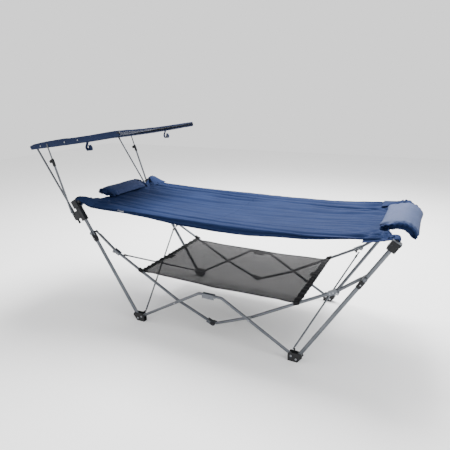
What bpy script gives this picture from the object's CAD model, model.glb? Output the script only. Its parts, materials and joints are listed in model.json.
"""A folding hammock: cloth, pads, canopy, mesh shelf and small hardware round its packed steel frame."""

import json
import logging
import math
from dataclasses import dataclass
from enum import Enum
from typing import Callable, Sequence

import bmesh
import bpy
from mathutils import Matrix, Vector, noise


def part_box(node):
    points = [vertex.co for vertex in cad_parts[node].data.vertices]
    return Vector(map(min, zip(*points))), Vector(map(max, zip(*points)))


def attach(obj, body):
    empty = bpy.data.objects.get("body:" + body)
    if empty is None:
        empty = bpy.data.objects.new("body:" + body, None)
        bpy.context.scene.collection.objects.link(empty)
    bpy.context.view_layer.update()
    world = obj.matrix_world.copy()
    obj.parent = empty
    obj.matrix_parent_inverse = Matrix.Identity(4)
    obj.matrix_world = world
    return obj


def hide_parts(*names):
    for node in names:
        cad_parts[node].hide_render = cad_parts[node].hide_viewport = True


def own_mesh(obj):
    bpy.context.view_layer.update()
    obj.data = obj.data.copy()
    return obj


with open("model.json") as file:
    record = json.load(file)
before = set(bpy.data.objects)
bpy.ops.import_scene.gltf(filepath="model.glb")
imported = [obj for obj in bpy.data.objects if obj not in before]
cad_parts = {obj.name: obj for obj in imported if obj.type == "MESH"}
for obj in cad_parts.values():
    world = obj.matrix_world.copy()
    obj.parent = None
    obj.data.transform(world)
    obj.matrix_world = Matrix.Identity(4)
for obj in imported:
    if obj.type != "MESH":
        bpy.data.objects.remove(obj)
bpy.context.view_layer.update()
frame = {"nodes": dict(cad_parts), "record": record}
LOG = logging.getLogger("hammock")

SIDES: tuple[tuple[str, int], ...] = (("near", -1), ("far", 1))
ENDS: tuple[tuple[str, int], ...] = (("head", -1), ("foot", 1))


# ---- shared shader groups ------------------------------------------------------------------------
def new_group(name: str, inputs: Sequence[tuple[str, str, object]],
              outputs: Sequence[tuple[str, str]]) -> bpy.types.NodeTree:
    """Start a shader group.

    Args:
        name: the group's name.
        inputs: socket name, socket type and default for each input.
        outputs: socket name and type for each output.

    Returns:
        The group, holding a Group Input and a Group Output node.
    """
    tree = bpy.data.node_groups.new(name, "ShaderNodeTree")
    for label, kind, value in inputs:
        socket = tree.interface.new_socket(label, in_out="INPUT", socket_type=kind)
        if value is not None:
            socket.default_value = value
    for label, kind in outputs:
        tree.interface.new_socket(label, in_out="OUTPUT", socket_type=kind)
    tree.nodes.new("NodeGroupInput").name = "in"
    tree.nodes.new("NodeGroupOutput").name = "out"
    return tree


def add_node(tree: bpy.types.NodeTree, kind: str, **settings: object) -> bpy.types.Node:
    """Add a node and set its properties."""
    node = tree.nodes.new(kind)
    for key, value in settings.items():
        setattr(node, key, value)
    return node


def weave_group() -> bpy.types.NodeTree:
    """Crossed threads: a height for the bump and a tone for the colour.

    Returns:
        The group, with its Height and Tone outputs.
    """
    tree = new_group("weave", (("Vector", "NodeSocketVector", None), ("Threads", "NodeSocketFloat", 700.0)),
                     (("Height", "NodeSocketFloat"), ("Tone", "NodeSocketFloat")))
    source, sink = tree.nodes["in"], tree.nodes["out"]
    waves = []
    for direction in ("X", "Y"):
        wave = add_node(tree, "ShaderNodeTexWave", wave_type="BANDS", bands_direction=direction)
        wave.inputs["Distortion"].default_value = 0.6
        tree.links.new(source.outputs["Vector"], wave.inputs["Vector"])
        tree.links.new(source.outputs["Threads"], wave.inputs["Scale"])
        waves.append(wave)
    both = add_node(tree, "ShaderNodeMath", operation="MAXIMUM")
    for index, wave in enumerate(waves):
        tree.links.new(wave.outputs["Fac"], both.inputs[index])
    fleck = add_node(tree, "ShaderNodeTexNoise")
    fleck.inputs["Scale"].default_value = 260.0
    fleck.inputs["Detail"].default_value = 3.0
    tree.links.new(source.outputs["Vector"], fleck.inputs["Vector"])
    tone = add_node(tree, "ShaderNodeMath", operation="MULTIPLY")
    tree.links.new(both.outputs[0], tone.inputs[0])
    tree.links.new(fleck.outputs["Fac"], tone.inputs[1])
    tree.links.new(both.outputs[0], sink.inputs["Height"])
    tree.links.new(tone.outputs[0], sink.inputs["Tone"])
    return tree


def patina_group() -> bpy.types.NodeTree:
    """Broad and fine blotches of dust and handling marks, from 0 to 1.

    Returns:
        The group, with its Broad and Fine outputs.
    """
    tree = new_group("patina", (("Vector", "NodeSocketVector", None), ("Scale", "NodeSocketFloat", 9.0)),
                     (("Broad", "NodeSocketFloat"), ("Fine", "NodeSocketFloat")))
    source, sink = tree.nodes["in"], tree.nodes["out"]
    for label, factor, detail in (("Broad", 1.0, 4.0), ("Fine", 14.0, 6.0)):
        size = add_node(tree, "ShaderNodeMath", operation="MULTIPLY")
        size.inputs[1].default_value = factor
        tree.links.new(source.outputs["Scale"], size.inputs[0])
        cloud = add_node(tree, "ShaderNodeTexNoise")
        cloud.inputs["Detail"].default_value = detail
        tree.links.new(source.outputs["Vector"], cloud.inputs["Vector"])
        tree.links.new(size.outputs[0], cloud.inputs["Scale"])
        tree.links.new(cloud.outputs["Fac"], sink.inputs[label])
    return tree


class Surface(Enum):
    """What a finish is made like."""

    METAL = "metal"
    MOULDED = "moulded"
    CLOTH = "cloth"


@dataclass(frozen=True)
class Finish:
    """One finish: its record slot, its two tones and how it shines."""

    name: str
    slot: str
    surface: Surface
    tone: tuple[float, float, float]
    worn: tuple[float, float, float]
    roughness: float
    metallic: float = 0.0
    alpha: float = 1.0
    threads: float = 700.0
    bump: float = 0.15
    blotch: float = 9.0
    gloss: float = 0.2

    def material(self, groups: dict[str, bpy.types.NodeTree]) -> bpy.types.Material:
        """Build the material.

        Args:
            groups: the shared shader groups by name.

        Returns:
            The finished material.
        """
        made = bpy.data.materials.new(self.name)
        made.use_nodes = True
        tree = made.node_tree
        shader = tree.nodes["Principled BSDF"]
        shader.inputs["Metallic"].default_value = self.metallic
        shader.inputs["Specular IOR Level"].default_value = self.gloss
        shader.inputs["Alpha"].default_value = self.alpha
        place = add_node(tree, "ShaderNodeTexCoord")
        marks = add_node(tree, "ShaderNodeGroup", node_tree=groups["patina"])
        marks.inputs["Scale"].default_value = self.blotch
        tree.links.new(place.outputs["Object"], marks.inputs["Vector"])
        mixed = add_node(tree, "ShaderNodeMix", data_type="RGBA")
        mixed.inputs["A"].default_value = (*self.tone, 1.0)
        mixed.inputs["B"].default_value = (*self.worn, 1.0)
        spread = add_node(tree, "ShaderNodeMapRange")
        spread.inputs["From Min"].default_value = 0.35
        spread.inputs["From Max"].default_value = 0.75
        tree.links.new(marks.outputs["Broad"], spread.inputs["Value"])
        tree.links.new(spread.outputs["Result"], mixed.inputs["Factor"])
        shine = add_node(tree, "ShaderNodeMapRange")
        shine.inputs["To Min"].default_value = self.roughness - 0.07
        shine.inputs["To Max"].default_value = self.roughness + 0.10
        tree.links.new(marks.outputs["Fine"], shine.inputs["Value"])
        tree.links.new(shine.outputs["Result"], shader.inputs["Roughness"])
        relief = add_node(tree, "ShaderNodeBump")
        relief.inputs["Strength"].default_value = self.bump
        relief.inputs["Distance"].default_value = 0.0006
        if self.surface is Surface.CLOTH:
            weave = add_node(tree, "ShaderNodeGroup", node_tree=groups["weave"])
            weave.inputs["Threads"].default_value = self.threads
            tree.links.new(place.outputs["Object"], weave.inputs["Vector"])
            thread = add_node(tree, "ShaderNodeMix", data_type="RGBA", blend_type="MULTIPLY")
            thread.inputs["Factor"].default_value = 0.35
            tree.links.new(mixed.outputs["Result"], thread.inputs["A"])
            tree.links.new(weave.outputs["Tone"], thread.inputs["B"])
            bright = add_node(tree, "ShaderNodeMix", data_type="RGBA")
            bright.inputs["Factor"].default_value = 0.5
            tree.links.new(thread.outputs["Result"], bright.inputs["A"])
            tree.links.new(mixed.outputs["Result"], bright.inputs["B"])
            tree.links.new(bright.outputs["Result"], shader.inputs["Base Color"])
            tree.links.new(weave.outputs["Height"], relief.inputs["Height"])
        else:
            tree.links.new(mixed.outputs["Result"], shader.inputs["Base Color"])
            tree.links.new(marks.outputs["Fine"], relief.inputs["Height"])
        tree.links.new(relief.outputs["Normal"], shader.inputs["Normal"])
        return made


FINISHES: tuple[Finish, ...] = (
    Finish("zinc_tube", "steel", Surface.METAL, (0.125, 0.134, 0.150), (0.085, 0.092, 0.104), 0.34, 0.85,
           bump=0.05, gloss=0.5),
    Finish("bright_rivet", "rivet", Surface.METAL, (0.34, 0.35, 0.37), (0.20, 0.21, 0.23), 0.30, 0.9,
           bump=0.08, gloss=0.5),
    Finish("black_steel", "bracket", Surface.METAL, (0.013, 0.0135, 0.015), (0.028, 0.029, 0.031), 0.42),
    Finish("black_nylon", "black_plastic", Surface.MOULDED, (0.009, 0.0095, 0.011), (0.017, 0.018, 0.021),
           0.46),
    Finish("knob_plastic", "knob", Surface.MOULDED, (0.010, 0.010, 0.011), (0.018, 0.018, 0.021), 0.34),
    Finish("bed_cloth", "bed_fabric", Surface.CLOTH, (0.0125, 0.0240, 0.0730), (0.0095, 0.0190, 0.0600), 0.80,
           threads=620.0, bump=0.35, blotch=5.0, gloss=0.06),
    Finish("pillow_cloth", "pad_fabric", Surface.CLOTH, (0.0175, 0.0330, 0.1000), (0.0135, 0.0265, 0.0830),
           0.78, threads=520.0, bump=0.4, blotch=7.0),
    Finish("foot_pillow_cloth", "foot_pad_fabric", Surface.CLOTH, (0.044, 0.064, 0.138),
           (0.034, 0.052, 0.116), 0.74, threads=520.0, bump=0.4, blotch=7.0),
    Finish("canopy_cloth", "canopy_fabric", Surface.CLOTH, (0.0085, 0.0185, 0.0600), (0.0060, 0.0135, 0.0470),
           0.74, threads=620.0, bump=0.35, blotch=5.0),
    Finish("shelf_mesh", "mesh", Surface.CLOTH, (0.021, 0.021, 0.022), (0.014, 0.014, 0.015), 0.8,
           alpha=0.80, threads=900.0, bump=0.3, blotch=6.0),
    Finish("black_webbing", "webbing", Surface.CLOTH, (0.009, 0.009, 0.010), (0.015, 0.015, 0.017), 0.78,
           threads=900.0, bump=0.5, blotch=12.0),
)


class Finisher:
    """Holds the built materials and dresses pieces in them."""

    def __init__(self) -> None:
        """Build the shared groups and every material."""
        groups = {"weave": weave_group(), "patina": patina_group()}
        self.slots = {finish.name: finish.slot for finish in FINISHES}
        self.materials = {finish.name: finish.material(groups) for finish in FINISHES}
        self.record_slots = {row["slot"] for row in frame["record"]["materials"]}

    def dress(self, piece: bpy.types.Object, finish: str) -> bpy.types.Object:
        """Give a new piece its material and record slot."""
        piece.data.materials.clear()
        piece.data.materials.append(self.materials[finish])
        return piece

    def dress_frame(self) -> None:
        """Give every carried-over CAD node its own finish."""
        by_slot = {slot: name for name, slot in self.slots.items()}
        for row in frame["record"]["subparts"]:
            node = frame["nodes"][row["node"]]
            material = self.materials[by_slot[row["material_slot"]]]
            for slot in node.material_slots:
                slot.material = material
            if not node.material_slots:
                node.data.materials.append(material)


# ---- mesh helpers ----------------------------------------------------------------------------------
def piece_from(name: str, points: Sequence[Sequence[float]], faces: Sequence[Sequence[int]],
               smooth: bool = True) -> bpy.types.Object:
    """Make an object at the origin from points and faces.

    Args:
        name: the piece's name.
        points: its corners, in metres.
        faces: corner indices of each face.
        smooth: whether the faces are shaded smooth.

    Returns:
        The new object, with outward normals.
    """
    mesh = bpy.data.meshes.new(name)
    mesh.from_pydata([tuple(p) for p in points], [], [tuple(f) for f in faces])
    work = bmesh.new()
    work.from_mesh(mesh)
    bmesh.ops.remove_doubles(work, verts=work.verts, dist=1e-6)
    bmesh.ops.recalc_face_normals(work, faces=work.faces)
    work.to_mesh(mesh)
    work.free()
    if smooth:
        mesh.shade_smooth()
    made = bpy.data.objects.new(name, mesh)
    bpy.context.scene.collection.objects.link(made)
    return made


def settle(piece: bpy.types.Object) -> bpy.types.Object:
    """Apply every modifier, leaving a plain mesh.

    Args:
        piece: the object to settle.

    Returns:
        The same object, with its modifiers gone.
    """
    bpy.context.view_layer.update()
    evaluated = piece.evaluated_get(bpy.context.evaluated_depsgraph_get())
    plain = bpy.data.meshes.new_from_object(evaluated)
    piece.modifiers.clear()
    piece.data = plain
    return piece


def joined(name: str, parts: Sequence[bpy.types.Object]) -> bpy.types.Object:
    """Join several objects into one named piece.

    Args:
        name: the new piece's name.
        parts: the objects to join, which are removed.

    Returns:
        The joined piece.
    """
    work = bmesh.new()
    for part in parts:
        work.from_mesh(part.data)
        bpy.data.objects.remove(part, do_unlink=True)
    mesh = bpy.data.meshes.new(name)
    work.to_mesh(mesh)
    work.free()
    made = bpy.data.objects.new(name, mesh)
    bpy.context.scene.collection.objects.link(made)
    return made


def sheet_mesh(name: str, rows: int, columns: int, place: Callable[[float, float], Vector],
               thickness: float) -> bpy.types.Object:
    """A closed sheet of even thickness from a function of two shares.

    Args:
        name: the piece's name.
        rows: steps along the first share.
        columns: steps along the second share.
        place: gives the point for two shares from 0 to 1.
        thickness: of the cloth, in metres.

    Returns:
        The sheet as a plain mesh.
    """
    points = [place(i / rows, j / columns) for i in range(rows + 1) for j in range(columns + 1)]
    wide = columns + 1
    faces = [(i * wide + j, i * wide + j + 1, (i + 1) * wide + j + 1, (i + 1) * wide + j)
             for i in range(rows) for j in range(columns)]
    piece = piece_from(name, points, faces)
    wall = piece.modifiers.new("wall", "SOLIDIFY")
    wall.thickness = thickness
    wall.offset = 0.0
    settle(piece)
    piece.data.shade_smooth()
    return piece


def lofted(name: str, points: Sequence[Vector], around: int) -> bpy.types.Object:
    """Skin rings of points that follow one another, with both ends capped.

    Args:
        name: the piece's name.
        points: the rings' points, one ring after another.
        around: how many points each ring has.

    Returns:
        The closed piece.
    """
    rings = len(points) // around
    faces = [(i * around + k, i * around + (k + 1) % around,
              (i + 1) * around + (k + 1) % around, (i + 1) * around + k)
             for i in range(rings - 1) for k in range(around)]
    faces += [tuple(range(around)), tuple((rings - 1) * around + k for k in range(around))]
    return piece_from(name, points, faces)


def turned(name: str, path: Sequence[Vector], radii: Sequence[float], first: Vector, second: Vector,
           steps: int) -> bpy.types.Object:
    """A round piece of changing radius along a straight line.

    Args:
        name: the piece's name.
        path: points along its axis.
        radii: the radius at each of them.
        first: one direction square to the axis.
        second: the direction square to both.
        steps: points round it.

    Returns:
        The closed piece.
    """
    points = [place + first * radius * math.cos(math.tau * k / steps)
              + second * radius * math.sin(math.tau * k / steps)
              for place, radius in zip(path, radii) for k in range(steps)]
    return lofted(name, points, steps)


def eased(p0: Vector, p1: Vector, p2: Vector, p3: Vector, t: float) -> Vector:
    """A point between p1 and p2 on the smooth curve through four points."""
    return 0.5 * ((2 * p1) + (p2 - p0) * t + (2 * p0 - 5 * p1 + 4 * p2 - p3) * t * t
                  + (3 * p1 - p0 - 3 * p2 + p3) * t ** 3)


def swept(name: str, path: Sequence[Vector], section: Sequence[tuple[float, float]],
          side: Vector) -> bpy.types.Object:
    """Sweep a closed section along a path, with its ends capped.

    Args:
        name: the piece's name.
        path: points along the middle.
        section: points across it: first along side, then square to it and the path.
        side: the direction the section's first measure keeps to.

    Returns:
        The swept piece.
    """
    points = []
    for index, point in enumerate(path):
        ahead = path[min(index + 1, len(path) - 1)] - path[max(index - 1, 0)]
        way = ahead.normalized()
        across = (side - way * side.dot(way)).normalized()
        up = way.cross(across)
        points += [point + across * a + up * b for a, b in section]
    return lofted(name, points, len(section))


def ring(radius: float, steps: int = 12, flat: float = 1.0) -> list[tuple[float, float]]:
    """A round or flattened section."""
    return [(radius * math.cos(math.tau * k / steps), radius * flat * math.sin(math.tau * k / steps))
            for k in range(steps)]


def band(width: float, thick: float) -> list[tuple[float, float]]:
    """The section of a strap, with soft edges."""
    half, deep, soft = width / 2, thick / 2, min(thick * 0.45, width * 0.2)
    return [(-half, -deep + soft), (-half + soft, -deep), (half - soft, -deep), (half, -deep + soft),
            (half, deep - soft), (half - soft, deep), (-half + soft, deep), (-half, deep - soft)]


def rounded_block(name: str, corners: tuple[Vector, Vector, Vector], middle: Vector,
                  bevel: float) -> bpy.types.Object:
    """A block on three half-edges about its middle, with rounded edges.

    Args:
        name: the piece's name.
        corners: its three half-edge vectors.
        middle: its centre.
        bevel: the rounding, in metres.

    Returns:
        The block as a plain mesh.
    """
    a, b, c = corners
    points = [middle + a * i + b * j + c * k for i in (-1, 1) for j in (-1, 1) for k in (-1, 1)]
    faces = [(0, 1, 3, 2), (4, 6, 7, 5), (0, 4, 5, 1), (2, 3, 7, 6), (0, 2, 6, 4), (1, 5, 7, 3)]
    piece = piece_from(name, points, faces, smooth=False)
    round_off = piece.modifiers.new("round", "BEVEL")
    round_off.width = bevel
    round_off.segments = 3
    settle(piece)
    piece.data.shade_smooth()
    return piece


def smooth_line(points: Sequence[tuple[float, float]], at: float) -> float:
    """Read a curve through (x, value) points at x, eased between them.

    Args:
        points: (x, value) pairs in order of x.
        at: where to read it.

    Returns:
        The value there.
    """
    if at <= points[0][0]:
        return points[0][1]
    for (x0, v0), (x1, v1) in zip(points, points[1:]):
        if at <= x1:
            share = (at - x0) / (x1 - x0)
            return v0 + (v1 - v0) * (0.5 * share + 0.5 * share * share * (3 - 2 * share))
    return points[-1][1]


def route(points: Sequence[Vector], steps: int = 6) -> list[Vector]:
    """A smooth path through a few points.

    Args:
        points: the points it runs through.
        steps: steps between two of them.

    Returns:
        The path.
    """
    path: list[Vector] = []
    for index in range(len(points) - 1):
        p0, p1 = points[max(index - 1, 0)], points[index]
        p2, p3 = points[index + 1], points[min(index + 2, len(points) - 1)]
        for step in range(steps):
            path.append(eased(p0, p1, p2, p3, step / steps))
    path.append(points[-1].copy())
    return path


# ---- rivets, by Geometry Nodes -----------------------------------------------------------------------
RIVET_SIDES = 16


def rivet_heads_tree() -> bpy.types.NodeTree:
    """A tree that sets a round rivet head on every point of its mesh.

    Returns:
        The tree, with its sizes, rotation and material as inputs.
    """
    tree = bpy.data.node_groups.new("rivet_heads", "GeometryNodeTree")
    for label, kind, value in (("Geometry", "NodeSocketGeometry", None), ("Size", "NodeSocketFloat", 0.004),
                               ("Height", "NodeSocketFloat", 0.002), ("Turn", "NodeSocketRotation", None),
                               ("Material", "NodeSocketMaterial", None)):
        socket = tree.interface.new_socket(label, in_out="INPUT", socket_type=kind)
        if value is not None:
            socket.default_value = value
    tree.interface.new_socket("Geometry", in_out="OUTPUT", socket_type="NodeSocketGeometry")
    source, sink = add_node(tree, "NodeGroupInput"), add_node(tree, "NodeGroupOutput")
    place = add_node(tree, "GeometryNodeInstanceOnPoints")
    real, dress = add_node(tree, "GeometryNodeRealizeInstances"), add_node(tree, "GeometryNodeSetMaterial")
    shape = add_node(tree, "GeometryNodeMeshCylinder")
    shape.inputs["Vertices"].default_value = RIVET_SIDES
    link = tree.links.new
    link(source.outputs["Size"], shape.inputs["Radius"])
    link(source.outputs["Height"], shape.inputs["Depth"])
    link(source.outputs["Geometry"], place.inputs["Points"])
    link(source.outputs["Turn"], place.inputs["Rotation"])
    link(shape.outputs["Mesh"], place.inputs["Instance"])
    link(place.outputs["Instances"], real.inputs["Geometry"])
    link(real.outputs["Geometry"], dress.inputs["Geometry"])
    link(source.outputs["Material"], dress.inputs["Material"])
    link(dress.outputs["Geometry"], sink.inputs["Geometry"])
    return tree


class Riveter:
    """Sets rivets through the Geometry Nodes tree."""

    def __init__(self, finisher: Finisher) -> None:
        """Build the tree."""
        self.finisher = finisher
        self.tree = rivet_heads_tree()

    def make(self, name: str, points: Sequence[Vector], finish: str, body: str, size: float,
             height: float) -> bpy.types.Object:
        """Set one group of rivets that stand across the stand.

        Args:
            name: the piece's name.
            points: where each rivet goes.
            finish: the material.
            body: the body it rides on.
            size: rivet radius.
            height: rivet height.

        Returns:
            The finished piece.
        """
        mesh = bpy.data.meshes.new(name)
        mesh.from_pydata([tuple(p) for p in points], [], [])
        piece = bpy.data.objects.new(name, mesh)
        bpy.context.scene.collection.objects.link(piece)
        nodes = piece.modifiers.new("rivets", "NODES")
        nodes.node_group = self.tree
        values = {"Size": size, "Height": height, "Turn": (math.pi / 2, 0.0, 0.0),
                  "Material": self.finisher.materials[finish]}
        for item in self.tree.interface.items_tree:
            if item.in_out == "INPUT" and item.name in values:
                nodes[item.identifier] = values[item.name]
        settle(piece)
        self.finisher.dress(piece, finish)
        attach(piece, body)
        return piece


def stand_middle() -> float:
    """The x of the stand's own middle, where the hubs are."""
    low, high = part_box("lower_hub_near")
    return (low[0] + high[0]) / 2


MIDDLE = stand_middle()
POST_LEAN = (0.5178, 0.8555)
POST_TOP = (1.117, 0.862)


def gather(piece: bpy.types.Object) -> None:
    """Let a soft piece draw together sideways as the stand folds.

    Args:
        piece: the soft piece.
    """
    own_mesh(piece)


@dataclass
class Post:
    """One corner's post line, at the depth of its packed corner block."""

    end: str
    side: str

    def line(self) -> tuple[Vector, Vector, Vector]:
        """The post's top middle, its direction and the outward direction square to it."""
        low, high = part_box(f"corner_block_foot_{self.side}")
        way = 1 if self.end == "foot" else -1
        lean, rise = POST_LEAN
        top = Vector((MIDDLE + POST_TOP[0] * way, (low[1] + high[1]) / 2, POST_TOP[1]))
        return top, Vector((lean * way, 0.0, rise)), Vector((rise * way, 0.0, -lean))


@dataclass
class Bed:
    """The hanging cloth: a stretched sheet with side flaps, in two halves that part at the middle."""

    finisher: Finisher
    reach: float = 1.100
    middle_reach: float = 1.035
    half_width: float = 0.438
    thickness: float = 0.0016
    rows: int = 150
    columns: int = 150
    flap_share: float = 0.07
    hem_line: tuple[tuple[float, float], ...] = (
        (-1.10, 0.836), (-0.98, 0.821), (-0.612, 0.806), (-0.245, 0.784), (0.0, 0.777), (0.225, 0.775),
        (0.602, 0.801), (0.931, 0.838), (1.10, 0.870))
    edge_line: tuple[tuple[float, float], ...] = (
        (-1.10, 0.866), (-0.95, 0.854), (-0.6, 0.843), (-0.2, 0.837), (0.2, 0.836), (0.6, 0.841),
        (0.95, 0.858), (1.10, 0.888))
    creases: tuple[tuple[float, float, float], ...] = (
        (0.235, 0.013, 0.0200), (0.305, 0.010, 0.0150), (0.120, 0.020, 0.0080), (-0.045, 0.016, 0.0040),
        (-0.180, 0.018, 0.0045), (-0.275, 0.012, 0.0100), (-0.335, 0.011, 0.0060), (0.370, 0.010, 0.0110),
        (0.035, 0.010, 0.0030), (-0.390, 0.010, 0.0150))

    def height(self, x: float, y: float) -> float:
        """Relief of the long wrinkles at a place on the sheet.

        Args:
            x: along the bed, from the stand's middle.
            y: across it.

        Returns:
            The relief, in metres.
        """
        pull = (abs(x) / self.reach) ** 2
        relief = 0.0
        for at, width, depth in self.creases:
            drift = (0.030 * math.sin(1.7 * x + 9.0 * at)
                     + 0.010 * noise.noise(Vector((x * 2.1, at * 7.0, 3.0))))
            centre = at * (1 - 0.10 * pull) + drift
            strength = depth * (0.60 + 1.3 * noise.noise(Vector((x * 1.6 + 4.0, at * 11.0, 1.0))))
            relief -= max(strength, 0.0) * math.exp(-((y - centre) / width) ** 2)
        relief += 0.0060 * (0.6 + pull) * noise.noise(Vector((x * 1.3, y * 13.0, 0.0)))
        relief += 0.0032 * (0.4 + 2.0 * pull) * noise.noise(Vector((x * 2.6, y * 34.0, 5.0)))
        relief += 0.0020 * noise.noise(Vector((x * 9.0, y * 15.0, 9.0)))
        return relief

    def corner_pull(self, x: float, y: float) -> float:
        """Folds that fan out from a tied corner."""
        corner_x, corner_y = math.copysign(self.reach, x), math.copysign(self.half_width, y)
        away = math.hypot(x - corner_x, y - corner_y)
        turn = math.atan2(abs(corner_y) - abs(y), abs(corner_x) - abs(x) + 1e-6)
        return 0.011 * math.exp(-(away / 0.24) ** 2) * math.sin(19.0 * turn + 1.3 * corner_y + corner_x)

    def point(self, way: int, u: float, share: float) -> Vector:
        """A point of one half of the sheet.

        Args:
            way: 1 for the foot half, -1 for the head half.
            u: 0 at the middle, 1 at the outer edge.
            share: 0 at the near hem, 1 at the far hem.

        Returns:
            The point, in the row frame.
        """
        flap = self.flap_share
        v = (share - flap) / (1 - 2 * flap) * 2 - 1
        hang = max(abs(v) - 1, 0.0) / (2 * flap / (1 - 2 * flap))
        v = max(-1.0, min(1.0, v))
        x_end = self.middle_reach + (self.reach - self.middle_reach) * abs(v) ** 2.4
        x = way * u * x_end
        inward = 0.010 * math.sin(math.pi * min(abs(x) / self.reach, 1.0))
        width = self.half_width - inward - 0.012 * (abs(x) / self.reach) ** 8
        y = v * width
        top = smooth_line(self.edge_line, x)
        belly = -0.040 * (1 - v * v) * (1 - 0.85 * (x / self.reach) ** 2)
        end_dip = -0.016 * (1 - v * v) * (abs(x) / self.reach) ** 10
        fade = 1 - abs(v) ** 14
        z = top + belly + end_dip + self.height(x, y) * (0.35 + 0.65 * fade) + self.corner_pull(x, y)
        if hang > 0:
            depth = max(top - smooth_line(self.hem_line, x) - 0.012, 0.008)
            z -= 0.008
            pleat = 0.0085 * math.sin(math.tau * 1.6 * hang + 1.5 * noise.noise(Vector((x * 3.0, 2.0, y))))
            bulge = 0.008 * math.sin(math.pi * hang)
            y += math.copysign(bulge + pleat * min(1.0, hang * 3), y)
            z -= depth * hang
            z += 0.002 * noise.noise(Vector((x * 14.0, hang * 2.0, y)))
        else:
            z -= 0.014 * abs(v) ** 14
        return Vector((MIDDLE + x, y, z))

    def hem(self, way: int, sign: int) -> list[Vector]:
        """The lower edge of one flap, from the middle outwards."""
        share = 0.0 if sign < 0 else 1.0
        return [self.point(way, k / 90, share) for k in range(91)]

    def build(self) -> None:
        """Build both halves with their piping, corner ties, end hems and the plain tag."""
        for end, way in ENDS:
            body = f"bed_{end}"
            cloth = sheet_mesh(f"bed_cloth_{end}", self.rows, self.columns,
                               lambda u, share, w=way: self.point(w, u, share), self.thickness)
            self.finisher.dress(cloth, "bed_cloth")
            trims = [self.piping(end, way, sign) for _, sign in SIDES] + self.corner_ties(end, way)
            trims += [self.end_hem(end, way)]
            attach(cloth, body)
            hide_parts(f"bed_{end}_half")
            gather(cloth)
            for trim in trims:
                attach(trim, body)
                if "tie" in trim.name:
                    gather(trim)
                else:
                    gather(trim)
            LOG.info("bed %s half", end)
        self.tag()

    def piping(self, end: str, way: int, sign: int) -> bpy.types.Object:
        """The rolled, cord-filled hem of one side."""
        line = [p + Vector((0, 0, 0.001)) for p in self.hem(way, sign)[::2]]
        side = "near" if sign < 0 else "far"
        return self.finisher.dress(
            swept(f"bed_piping_{end}_{side}", line, ring(0.0042, 8), Vector((0, 1, 0))), "bed_cloth")

    def end_hem(self, end: str, way: int) -> bpy.types.Object:
        """The folded hem across the outer edge."""
        low, high = self.flap_share, 1 - self.flap_share
        line = [self.point(way, 0.998, low + (high - low) * k / 60) for k in range(61)]
        return self.finisher.dress(
            swept(f"bed_end_hem_{end}", line, ring(0.006, 8, 0.7), Vector((0, 0, 1))), "bed_cloth")

    def corner_ties(self, end: str, way: int) -> list[bpy.types.Object]:
        """The gathered cloth that wraps over each corner block's inner edge.

        Args:
            end: head or foot.
            way: 1 for the foot half, -1 for the head half.

        Returns:
            The near tie and the far one.
        """
        ties = []
        for side, sign in SIDES:
            top, along, out = Post(end, side).line()
            start = self.point(way, 0.87, 0.5 + sign * (0.5 - self.flap_share) * 0.90)
            inward = Vector((0, -sign, 0))
            if end == "head":
                mid = top - out * 0.052 - along * 0.002 + inward * 0.006
                last = top - out * 0.034 - along * 0.026 + inward * 0.004
            else:
                mid = top - out * 0.006 + along * 0.014 + inward * 0.034
                last = top + out * 0.016 - along * 0.022 + inward * 0.038
            path = route([start, (start + mid) / 2 - Vector((0, 0, 0.002)), mid, last], 7)
            around, made = 24, []
            for index, point in enumerate(path):
                share = index / (len(path) - 1)
                ahead = path[min(index + 1, len(path) - 1)] - path[max(index - 1, 0)]
                across = Vector((0, 1, 0))
                up = ahead.normalized().cross(across).normalized()
                half = 0.070 * (1 - share) ** 1.3 + 0.021
                for k in range(around):
                    angle = math.tau * k / around
                    ruffle = 1 + 0.16 * math.sin(7 * angle + 4 * share) * (0.4 + share)
                    deep = (0.0035 + 0.004 * math.sin(math.pi * share)) * ruffle
                    made.append(point + across * half * math.cos(angle) + up * deep * math.sin(angle))
            tie = lofted(f"bed_corner_tie_{end}_{side}", made, around)
            ties.append(self.finisher.dress(tie, "bed_cloth"))
        return ties

    def tag(self) -> None:
        """A small plain metal tag folded over the near hem."""
        points = [self.point(-1, u, 0.0) + Vector((0, -0.006, 0.012)) for u in (0.615, 0.640, 0.665)]
        made = swept("bed_hem_tag", points, band(0.020, 0.0022), Vector((0, 0.15, 1)))
        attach(self.finisher.dress(made, "bright_rivet"), "bed_head")
        gather(made)


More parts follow.
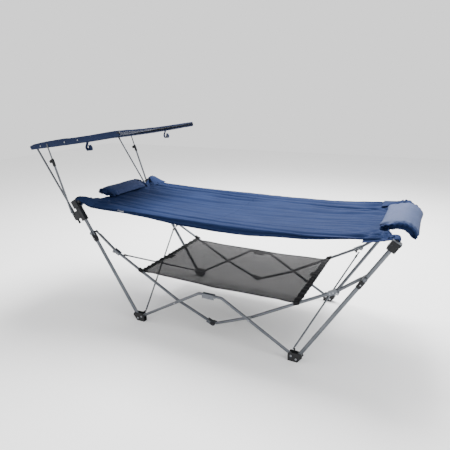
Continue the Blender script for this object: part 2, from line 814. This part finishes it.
@dataclass
class Pillow:
    """A padded roll that lies over one end of the bed, swollen by simulation."""

    finisher: Finisher
    end: str
    finish: str
    profile: tuple[tuple[float, float], ...]
    half: float
    centre_y: float = 0.0
    voxel: float = 0.006
    cap: float = 0.007
    pressure: float = 3.5
    lobes: int = 17

    def outline(self, shrink: float, count: int = 64) -> list[Vector]:
        """The end view of the pad as a smooth closed line, x from the stand's middle.

        Args:
            shrink: how far it is drawn towards its middle, from 0 to 1.
            count: points round it.

        Returns:
            The line's points, with y at 0.
        """
        corners = [Vector((x, 0.0, z)) for x, z in self.profile]
        middle = sum(corners, Vector()) / len(corners)
        line: list[Vector] = []
        total = len(corners)
        for index in range(count):
            place = index / count * total
            k, t = int(place), place - int(place)
            p0, p1 = corners[(k - 1) % total], corners[k % total]
            p2, p3 = corners[(k + 1) % total], corners[(k + 2) % total]
            line.append(middle + (eased(p0, p1, p2, p3, t) - middle) * (1 - shrink))
        return line

    def build(self) -> None:
        """Make the pad, let it swell, then add its gathered ends and piping."""
        steps, count, points = 40, 64, []
        for row in range(steps + 1):
            share = row / steps * 2 - 1
            narrow = 0.07 + 0.30 * max(0.0, abs(share) - 0.90) / 0.10
            for point in self.outline(narrow, count):
                points.append(point + Vector((MIDDLE, self.centre_y + share * (self.half - 0.010), 0)))
        pad = lofted(f"{self.end}_pillow_pad", points, count)
        self.swell(pad)
        smooth = pad.modifiers.new("smooth", "SUBSURF")
        smooth.levels = smooth.render_levels = 1
        settle(pad)
        self.wrinkle(pad)
        pad.data.shade_smooth()
        self.finisher.dress(pad, self.finish)
        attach(pad, f"bed_{self.end}")
        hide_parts(f"{self.end}_pillow")
        gather(pad)
        for side, sign in SIDES:
            ruffle = self.gathered_end(side, sign)
            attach(ruffle, f"bed_{self.end}")
            gather(ruffle)
        LOG.info("%s pillow", self.end)

    def swell(self, pad: bpy.types.Object) -> None:
        """Inflate the pad a little with a cloth simulation, keeping each point within the cap.

        Args:
            pad: the pad, before its last smoothing.
        """
        grid = pad.modifiers.new("even", "REMESH")
        grid.mode, grid.voxel_size = "VOXEL", self.voxel
        settle(pad)
        rest = [v.co.copy() for v in pad.data.vertices]
        cloth = pad.modifiers.new("cloth", "CLOTH")
        cloth.settings.use_pressure = True
        cloth.settings.uniform_pressure_force = self.pressure
        cloth.settings.effector_weights.gravity = 0.0
        cloth.settings.quality = 4
        cloth.settings.tension_stiffness = cloth.settings.compression_stiffness = 12.0
        for moment in range(1, 21):
            bpy.context.scene.frame_set(moment)
        settle(pad)
        for vertex, start in zip(pad.data.vertices, rest):
            move = vertex.co - start
            if move.length > self.cap:
                vertex.co = start + move.normalized() * self.cap
        bpy.context.scene.frame_set(1)

    def wrinkle(self, pad: bpy.types.Object) -> None:
        """Press shallow creases that run in from the gathered ends.

        Args:
            pad: the smoothed pad.
        """
        mesh = pad.data
        for vertex in mesh.vertices:
            place = vertex.co
            share = min(abs(place.y - self.centre_y) / self.half, 1.0)
            crease = 0.0034 * share ** 6 * math.sin(150.0 * (place.x - MIDDLE) + 3.0 * math.sin(60 * place.z))
            crease += 0.0022 * noise.noise(Vector((place.x * 22, place.y * 9, place.z * 22)))
            vertex.co = place + vertex.normal * crease
        mesh.update()

    def gathered_end(self, side: str, sign: int) -> bpy.types.Object:
        """The elastic, ruffled edge in bed cloth round one end of the pad.

        Args:
            side: near or far.
            sign: -1 for near, 1 for far.

        Returns:
            The ruffle with the plug that closes it.
        """
        around, steps, points = 96, 10, []
        line = self.outline(0.20, around)
        middle = sum(line, Vector()) / around
        y = self.centre_y + sign * (self.half - 0.006)
        for index, point in enumerate(line):
            angle = math.tau * index / around
            out = (point - middle).normalized()
            wave = math.sin(self.lobes * angle) + 0.5 * math.sin((self.lobes * 2 + 3) * angle + 1.0)
            size = 0.0085 + 0.0024 * wave
            base = point + Vector((MIDDLE, y + sign * 0.0015 * wave, 0))
            for k in range(steps):
                turn = math.tau * k / steps
                points.append(base + out * size * math.cos(turn)
                              + Vector((0, size * 1.15 * math.sin(turn), 0)))
        faces = [(i * steps + k, i * steps + (k + 1) % steps, ((i + 1) % around) * steps + (k + 1) % steps,
                  ((i + 1) % around) * steps + k) for i in range(around) for k in range(steps)]
        plug = []
        for shrink, back in ((0.23, 0.001), (0.28, 0.022)):
            plug += [point + Vector((MIDDLE, y - sign * back, 0)) for point in self.outline(shrink, around)]
        parts = [piece_from("ruffle", points, faces), lofted("plug", plug, around)]
        return self.finisher.dress(joined(f"{self.end}_pillow_gather_{side}", parts), "bed_cloth")


@dataclass
class Shelf:
    """The mesh shelf, its black hems, end straps and cuffs."""

    finisher: Finisher
    reach: float = 0.588
    half: float = 0.386
    sag: float = 0.024
    end_height: float = 0.374
    bar_y: float = 0.402

    def point(self, way: int, u: float, share: float) -> Vector:
        """A point of one half of the mesh: u out from the middle, share from near to far.

        Args:
            way: 1 for the foot half, -1 for the head half.
            u: 0 at the middle, 1 at the outer edge.
            share: 0 at the near edge, 1 at the far one.

        Returns:
            The point, in the row frame.
        """
        v = share * 2 - 1
        x = way * u * self.reach
        narrow = 0.012 * math.sin(math.pi * u) * 0.5
        y = v * (self.half - narrow)
        drop = self.sag * (1 - u * u) * (0.55 + 0.45 * (1 - v * v))
        z = self.end_height - drop
        fan = math.exp(-((1 - u) / 0.22) ** 2)
        z += 0.0042 * fan * math.sin(46.0 * v + 7.0 * noise.noise(Vector((x * 6.0, y * 4.0, 1.0))))
        z += 0.0030 * noise.noise(Vector((x * 5.0, y * 9.0, 2.0)))
        return Vector((MIDDLE + x, y, z))

    def build(self) -> None:
        """Build both halves, their hems, the end straps, the cuffs round the bars and the tabs."""
        for end, way in ENDS:
            body = f"shelf_{end}"
            mesh = sheet_mesh(f"shelf_mesh_{end}", 70, 90, lambda u, s, w=way: self.point(w, u, s), 0.0010)
            self.finisher.dress(mesh, "shelf_mesh")
            trims = []
            for side, share in (("near", 0.0), ("far", 1.0)):
                line = [self.point(way, k / 40, share) for k in range(41)]
                trims.append(swept(f"shelf_hem_{end}_{side}", line, band(0.016, 0.0030), Vector((0, 1, 0))))
            line = [self.point(way, 0.985, k / 60) + Vector((0, 0, 0.0055)) for k in range(61)]
            trims.append(swept(f"shelf_end_strap_{end}", line, band(0.044, 0.0034), Vector((1, 0, 0))))
            for side, sign in SIDES:
                trims.append(self.cuff(end, way, side, sign))
            trims.append(self.tab(end, way))
            for trim in trims:
                self.finisher.dress(trim, "black_webbing")
                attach(trim, body)
                gather(trim)
            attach(mesh, body)
            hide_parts(f"shelf_{end}_half")
            gather(mesh)
            LOG.info("shelf %s half", end)

    def cuff(self, end: str, way: int, side: str, sign: int) -> bpy.types.Object:
        """A webbing loop from the shelf's corner round the lower bar.

        Args:
            end: head or foot.
            way: 1 for the foot half, -1 for the head half.
            side: near or far.
            sign: -1 for near, 1 for far.

        Returns:
            The loop, not yet dressed.
        """
        centre = Vector((MIDDLE + way * 0.585, sign * self.bar_y, 0.3795))
        path = []
        for k in range(19):
            angle = math.tau * k / 18 * 0.93 + 0.4
            path.append(centre + Vector((way * 0.003 * math.sin(angle), -sign * 0.0135 * math.cos(angle),
                                         0.0150 * math.sin(angle))))
        start = self.point(way, 0.985, 0.0 if sign < 0 else 1.0)
        path = [start] + path
        return swept(f"shelf_cuff_{end}_{side}", path, band(0.036, 0.0026), Vector((way, 0, 0.5)))

    def tab(self, end: str, way: int) -> bpy.types.Object:
        """The doubled black patch halfway along the end strap."""
        middle = self.point(way, 0.95, 0.60 if way > 0 else 0.42) + Vector((0, 0, 0.004))
        half_edges = (Vector((0.024, 0, 0)), Vector((0, 0.032, 0)), Vector((0, 0, 0.0022)))
        return rounded_block(f"shelf_tab_{end}", half_edges, middle, 0.0018)


@dataclass
class Canopy:
    """The tilting cover: one sheet with a sleeve down each side pole, hemmed ends and hanging loops."""

    finisher: Finisher
    riveter: Riveter
    outer: tuple[float, float] = (-1.478, 1.2388)
    inner: tuple[float, float] = (-0.632, 1.3672)
    half: float = 0.467
    pole_y: float = 0.461
    sleeve_share: float = 0.10
    sleeve_turn: float = 0.72
    top_lift: float = 0.0115

    def line_point(self, s: float) -> Vector:
        """A point on the middle line of the poles, s from 0 at the outer end to 1."""
        x = self.outer[0] + (self.inner[0] - self.outer[0]) * s
        z = self.outer[1] + (self.inner[1] - self.outer[1]) * s
        return Vector((MIDDLE + x, 0.0, z))

    def point(self, s: float, share: float) -> Vector:
        """A point of the cover: s along the poles, share from the near sleeve to the far one.

        Args:
            s: 0 at the outer end of the poles, 1 at the inner.
            share: 0 at the near sleeve, 1 at the far one.

        Returns:
            The point, in the row frame.
        """
        way = (self.line_point(1) - self.line_point(0)).normalized()
        up = Vector((-way.z, 0, way.x))
        edge = self.sleeve_share
        arch = 0.010 * math.sin(math.pi * s) + 0.004 * math.sin(math.pi * s * 2.2 + 0.4)
        if edge <= share <= 1 - edge:
            v = (share - edge) / (1 - 2 * edge) * 2 - 1
            y = v * (self.half - 0.004)
            sag = -0.022 * (1 - v * v) * math.sin(math.pi * min(max(s, 0.06), 0.94))
            lift = self.top_lift + arch * abs(v) ** 3 + sag
            lift += 0.0022 * noise.noise(Vector((s * 5.0, y * 12.0, 4.0)))
            lift += 0.0016 * noise.noise(Vector((s * 16.0, y * 5.0, 8.0)))
            curl = max(0.0, 0.035 - s) / 0.035
            return self.line_point(s) + up * (lift - 0.022 * curl ** 2) + Vector((0, y, 0))
        sign = -1 if share < edge else 1
        turn = (edge - share) / edge if sign < 0 else (share - 1 + edge) / edge
        deep = 0.020 + 0.006 * math.sin(math.pi * s) + 0.0016 * noise.noise(Vector((s * 24.0, 1.0, sign)))
        lift = self.top_lift + arch - (self.top_lift + arch + deep) * min(turn / self.sleeve_turn, 1.0)
        out = self.half - 0.004 + 0.005 * math.sin(math.pi * min(turn / 0.8, 1.0))
        if turn > self.sleeve_turn:
            back = (turn - self.sleeve_turn) / (1 - self.sleeve_turn)
            lift = -deep + 0.016 * back
            out = self.half - 0.004 - 0.013 * math.sin(math.pi * 0.5 * back)
        out += 0.0014 * noise.noise(Vector((s * 30.0, turn * 3.0, sign)))
        return self.line_point(s) + up * lift + Vector((0, sign * out, 0))

    def build(self) -> None:
        """Build the cover, its end hems, hanging loops, pole caps and fittings."""
        cover = sheet_mesh("canopy_cover_cloth", 120, 140, self.point, 0.0014)
        self.finisher.dress(cover, "canopy_cloth")
        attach(cover, "canopy_near")
        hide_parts("canopy_cover")
        trims = []
        for name, s, drop in (("outer", 0.004, 0.012), ("inner", 0.996, 0.009)):
            line = [self.point(s, 0.10 + 0.80 * k / 80) - Vector((0, 0, drop * 0.5)) for k in range(81)]
            trims.append(swept(f"canopy_{name}_hem", line, ring(drop * 0.62, 10, 0.55), Vector((0, 0, 1))))
        for side, sign, s in (("near", -1, 0.668), ("far", 1, 0.680)):
            trims.append(self.loop(side, sign, s))
        for trim in trims:
            self.finisher.dress(trim, "canopy_cloth")
            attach(trim, "canopy_near")
        for soft in [cover] + trims:
            gather(soft)
        self.fittings()
        LOG.info("canopy")

    def loop(self, side: str, sign: int, s: float) -> bpy.types.Object:
        """A doubled webbing loop that hangs from the sleeve."""
        base = self.line_point(s) + Vector((0, sign * 0.458, -0.018))
        shape = [(0.000, 0.0), (-0.012, -0.022), (-0.017, -0.048), (-0.010, -0.066), (0.004, -0.064),
                 (0.008, -0.044), (0.014, -0.030), (0.024, -0.046), (0.022, -0.064), (0.012, -0.060)]
        path = route([base + Vector((x, 0.004 * math.sin(9 * i), z)) for i, (x, z) in enumerate(shape)], 5)
        return swept(f"canopy_loop_{side}", path, band(0.024, 0.0030), Vector((0, 1, 0)))

    def fittings(self) -> None:
        """Pole end caps and the steel eyelets that show in the sleeves."""
        way = (self.line_point(1) - self.line_point(0)).normalized()
        for side, sign in SIDES:
            for name, s, length in (("outer", 0.014, 0.016), ("inner", 0.986, 0.014)):
                start = self.line_point(s) + Vector((0, sign * self.pole_y, 0))
                step = way * (length if name == "inner" else -length)
                path = [start - step * 0.6, start, start + step * 0.5, start + step * 0.9, start + step]
                cap = swept(f"canopy_cap_{name}_{side}", path, ring(0.0078, 14), Vector((0, 1, 0)))
                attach(self.finisher.dress(cap, "black_nylon"), f"canopy_{side}")
            points = [self.line_point(s) + Vector((0, sign * (self.half + 0.0030), -0.004))
                      for s in (0.13, 0.42, 0.57)]
            self.riveter.make(f"canopy_eyelets_{side}", points, "bright_rivet", f"canopy_{side}",
                              0.0055, 0.0035)


@dataclass
class Corner:
    """The small steel and black parts round one post."""

    finisher: Finisher
    riveter: Riveter
    end: str
    side: str
    sign: int
    post_length: float = 0.985
    sleeve_rise: float = 0.713
    sleeve_face: float = 0.4590
    knuckle: tuple[float, float] = (0.8175, 0.5045)
    knuckle_faces: tuple[tuple[str, float], ...] = (("outer", 0.4158), ("inner", 0.3882))
    bar_way: tuple[float, float] = (0.875, 0.484)
    bar_shift: float = -0.009
    bar_foot: tuple[float, float, float] = (0.566, 0.404, 0.058)
    bar_eye: tuple[float, float, float] = (0.800, 0.380, 0.470)

    def build(self) -> None:
        """Build the block's plate, lips, wedge and screws, then the sleeve, knuckle and end-bar parts."""
        top, along, out = Post(self.end, self.side).line()
        across = Vector((0, 1, 0))
        corner = f"{self.end}_{self.side}"
        plate = rounded_block(f"block_plate_{corner}", (out * 0.0235, across * 0.0235, along * 0.0013),
                              top + along * 0.0035, 0.0012)
        self.ride(plate, "zinc_tube", f"post_{corner}")
        if self.end == "head":
            wedge = rounded_block(f"corner_wedge_{corner}", (out * 0.016, across * 0.019, along * 0.022),
                                  top - out * 0.040 - along * 0.012, 0.004)
            self.ride(wedge, "black_nylon", f"post_{corner}")
        lips = [rounded_block("lip", (out * 0.0012, across * 0.0235, along * 0.007), top + out * 0.0262 * k
                              - along * 0.003, 0.0008) for k in (-1, 1)]
        lip = joined(f"block_plate_lips_{corner}", lips)
        self.ride(lip, "zinc_tube", f"post_{corner}")
        self.riveter.make(f"block_screws_{corner}",
                         [top - along * 0.024 + across * self.sign * 0.0258 + out * k
                          for k in (-0.012, 0.012)],
                         "black_steel", f"post_{corner}", 0.0036, 0.0014)
        self.sleeve_boss(top, along, out, corner)
        self.knuckle_rivets(corner)
        self.end_fitting(corner)

    def ride(self, piece: bpy.types.Object, finish: str, body: str) -> None:
        """Dress a piece and fix it to its body."""
        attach(self.finisher.dress(piece, finish), body)

    def sleeve_boss(self, top: Vector, along: Vector, out: Vector, corner: str) -> None:
        """The steel strap and round boss on the outer side of the sliding sleeve.

        Args:
            top: the post's top middle.
            along: up the post.
            out: outwards, square to the post.
            corner: end and side, as the bodies name them.
        """
        pivot = top - along * (self.post_length - self.sleeve_rise)
        y = self.sign * self.sleeve_face
        centre = Vector((pivot.x, y, pivot.z))
        path = [centre + Vector((0, self.sign * k, 0)) for k in (0.0, 0.0012, 0.0052, 0.0068, 0.0072)]
        radii = (0.0125, 0.0130, 0.0130, 0.0112, 0.0060)
        boss = turned(f"sleeve_boss_{corner}", path, radii, out, along, 28)
        self.ride(boss, "zinc_tube", f"sleeve_{corner}")
        low, high = centre - along * 0.052, centre + along * 0.004
        strap = [low + Vector((0, self.sign * 0.0010, 0)),
                 (low + high) / 2 + Vector((0, self.sign * 0.0016, 0)),
                 high + Vector((0, self.sign * 0.0012, 0))]
        self.ride(swept(f"sleeve_strap_{corner}", strap, band(0.019, 0.0022), out), "black_nylon",
                  f"sleeve_{corner}")
        self.riveter.make(f"sleeve_rivets_{corner}",
                          [low + along * 0.010 + Vector((0, self.sign * 0.0026, 0))],
                         "bright_rivet", f"sleeve_{corner}", 0.0040, 0.0024)

    def knuckle_rivets(self, corner: str) -> None:
        """Rivets through the knuckle channel, and the dark lug under it.

        Args:
            corner: end and side, as the bodies name them.
        """
        way = 1 if self.end == "foot" else -1
        base, body = Vector((MIDDLE + way * self.knuckle[0], 0, self.knuckle[1])), f"lower_{corner}"
        back = Vector((-self.bar_way[0] * way, 0, -self.bar_way[1]))
        for name, y in self.knuckle_faces:
            points = [base + back * s + Vector((0, self.sign * y, 0)) for s in (0.019, 0.040)]
            self.riveter.make(f"knuckle_rivets_{name}_{corner}", points, "bright_rivet", body, 0.0038, 0.0018)
        lug_top = base + back * 0.030 + Vector((0, self.sign * 0.3875, -0.010))
        path = route([lug_top, lug_top + Vector((0, -self.sign * 0.006, -0.008)),
                      lug_top + Vector((0, -self.sign * 0.010, -0.014))], 4)
        self.ride(swept(f"knuckle_lug_{corner}", path, ring(0.0075, 14, 0.7), Vector((1, 0, 0))),
                  "black_nylon", body)

    def end_fitting(self, corner: str) -> None:
        """The ferrule and flattened eye at the top of the crossed end bar.

        Args:
            corner: end and side, as the bodies name them.
        """
        way, shift = (1 if self.end == "foot" else -1), self.bar_shift * self.sign
        (foot_x, foot_y, foot_z), (eye_x, eye_y, eye_z) = self.bar_foot, self.bar_eye
        foot = Vector((MIDDLE + way * (foot_x + shift), self.sign * foot_y, foot_z))
        eye = Vector((MIDDLE + way * (eye_x + shift), -self.sign * eye_y, eye_z))
        rise = (eye - foot).normalized()
        ferrule = swept(f"end_bar_ferrule_{corner}", [eye - rise * s for s in (0.058, 0.052, 0.040, 0.036)],
                        ring(0.0074, 16), Vector((1, 0, 0)))
        self.ride(ferrule, "black_nylon", f"endbar_{corner}")
        tongue = swept(f"end_bar_eye_{corner}", [eye - rise * s for s in (0.042, 0.020, 0.004, -0.004)],
                       band(0.0115, 0.0034), Vector((1, 0, 0)))
        self.ride(tongue, "zinc_tube", f"endbar_{corner}")


@dataclass
class Struts:
    """The collar and foot cap of one side's canopy struts."""

    finisher: Finisher
    side: str
    sign: int
    low_end: tuple[float, float] = (-1.131, 0.757)
    high_end: tuple[float, float] = (-1.300, 1.2658)
    strut_y: float = 0.470
    rear_foot: tuple[float, float, float] = (-1.091, 0.4515, 0.704)
    rear_rise: tuple[float, float, float] = (-0.5385, 0.0, 0.8426)

    def build(self) -> None:
        """Build the locking collar and the rear strut's foot cap."""
        low = Vector((MIDDLE + self.low_end[0], 0, self.low_end[1]))
        high = Vector((MIDDLE + self.high_end[0], 0, self.high_end[1]))
        way = (high - low).normalized()
        y = self.sign * self.strut_y
        path = [low + way * s + Vector((0, y, 0)) for s in (0.372, 0.376, 0.384, 0.418, 0.426, 0.430)]
        radii = (0.0086, 0.0104, 0.0110, 0.0110, 0.0100, 0.0078)
        side = Vector((0, 1, 0))
        out = way.cross(side).normalized()
        collar = turned(f"strut_collar_{self.side}", path, radii, side, out, 24)
        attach(self.finisher.dress(collar, "black_nylon"), f"strut_{self.side}")
        x, depth, z = self.rear_foot
        foot, rise = Vector((MIDDLE + x, self.sign * depth, z)), Vector(self.rear_rise)
        path = [foot - rise * s for s in (-0.020, 0.0, 0.004, 0.010, 0.012)]
        cap = swept(f"rear_strut_cap_{self.side}", path, ring(0.0084, 18), side)
        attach(self.finisher.dress(cap, "black_nylon"), f"post_head_{self.side}")


@dataclass
class Studio:
    """Camera, soft lights and the pale floor."""

    lens: float = 33.79
    film: float = 36.0
    shift: tuple[float, float] = (-0.0160, -0.0033)
    stands_at: tuple[float, float, float] = (1.2531, -2.6590, 1.6021)
    right: tuple[float, float, float] = (0.89977, 0.43625, -0.01019)
    down: tuple[float, float, float] = (0.11930, -0.26837, -0.95590)
    ahead: tuple[float, float, float] = (-0.41975, 0.85887, -0.29352)
    sky_strength: float = 1.30
    floor_reach: float = 9.0
    aim: tuple[float, float, float] = (0.0, 0.0, 0.7)

    def build(self) -> None:
        """Set the camera, the world, three soft lights and the floor."""
        camera = bpy.data.cameras.new("camera")
        camera.lens, camera.sensor_width = self.lens, self.film
        camera.shift_x, camera.shift_y = self.shift
        holder = bpy.data.objects.new("camera", camera)
        bpy.context.scene.collection.objects.link(holder)
        turn = Matrix((Vector(self.right), -Vector(self.down), -Vector(self.ahead))).transposed()
        x, y, z = self.stands_at
        holder.matrix_world = Matrix.Translation((x + MIDDLE, y, z)) @ turn.to_4x4()
        bpy.context.scene.camera = holder
        world = bpy.data.worlds.new("studio")
        world.use_nodes = True
        sky = world.node_tree.nodes["Background"]
        sky.inputs["Color"].default_value = (1.0, 1.0, 1.0, 1.0)
        sky.inputs["Strength"].default_value = self.sky_strength
        bpy.context.scene.world = world
        self.light("key", (-0.3, 1.5, 4.3), 2.2, 520.0)
        self.light("fill", (3.6, -1.2, 3.2), 2.4, 60.0)
        self.light("back", (0.4, 3.2, 3.4), 2.8, 160.0)
        far = self.floor_reach
        floor = piece_from("floor", [(-far, -far, 0), (far, -far, 0), (far, far, 0), (-far, far, 0)],
                           [(0, 1, 2, 3)], smooth=False)
        shade = bpy.data.materials.new("pale_floor")
        shade.use_nodes = True
        paint = shade.node_tree.nodes["Principled BSDF"]
        paint.inputs["Base Color"].default_value = (0.92, 0.92, 0.92, 1.0)
        paint.inputs["Roughness"].default_value = 0.9
        paint.inputs["Specular IOR Level"].default_value = 0.1
        floor.data.materials.append(shade)

    def light(self, name: str, place: tuple[float, float, float], size: float, power: float) -> None:
        """Add one soft light aimed at the bed.

        Args:
            name: the light's name.
            place: where it stands.
            size: the side of its square face.
            power: in watts.
        """
        lamp = bpy.data.lights.new(name, "AREA")
        lamp.size, lamp.energy = size, power
        holder = bpy.data.objects.new(name, lamp)
        bpy.context.scene.collection.objects.link(holder)
        aim = Vector(self.aim) - Vector(place)
        holder.matrix_world = Matrix.Translation(place) @ aim.to_track_quat("-Z", "Y").to_matrix().to_4x4()


def main() -> None:
    """Build every sub-assembly in order."""
    logging.basicConfig(level=logging.INFO)
    finisher = Finisher()
    finisher.dress_frame()
    riveter = Riveter(finisher)
    Studio().build()
    Bed(finisher).build()
    Pillow(finisher, "head", "pillow_cloth",
           ((-1.134, 0.862), (-1.133, 0.886), (-1.112, 0.902), (-1.064, 0.899), (-1.012, 0.884),
            (-0.972, 0.864), (-0.964, 0.846), (-1.035, 0.851)), 0.212, 0.030).build()
    Pillow(finisher, "foot", "foot_pillow_cloth",
           ((0.988, 0.866), (1.000, 0.888), (1.060, 0.904), (1.120, 0.914), (1.170, 0.902), (1.208, 0.868),
            (1.217, 0.832), (1.200, 0.822), (1.160, 0.862), (1.115, 0.882), (1.050, 0.868)), 0.255).build()
    Shelf(finisher).build()
    Canopy(finisher, riveter).build()
    for end, _ in ENDS:
        for side, sign in SIDES:
            Corner(finisher, riveter, end, side, sign).build()
    for side, sign in SIDES:
        Struts(finisher, side, sign).build()


if __name__ == "__main__":
    main()
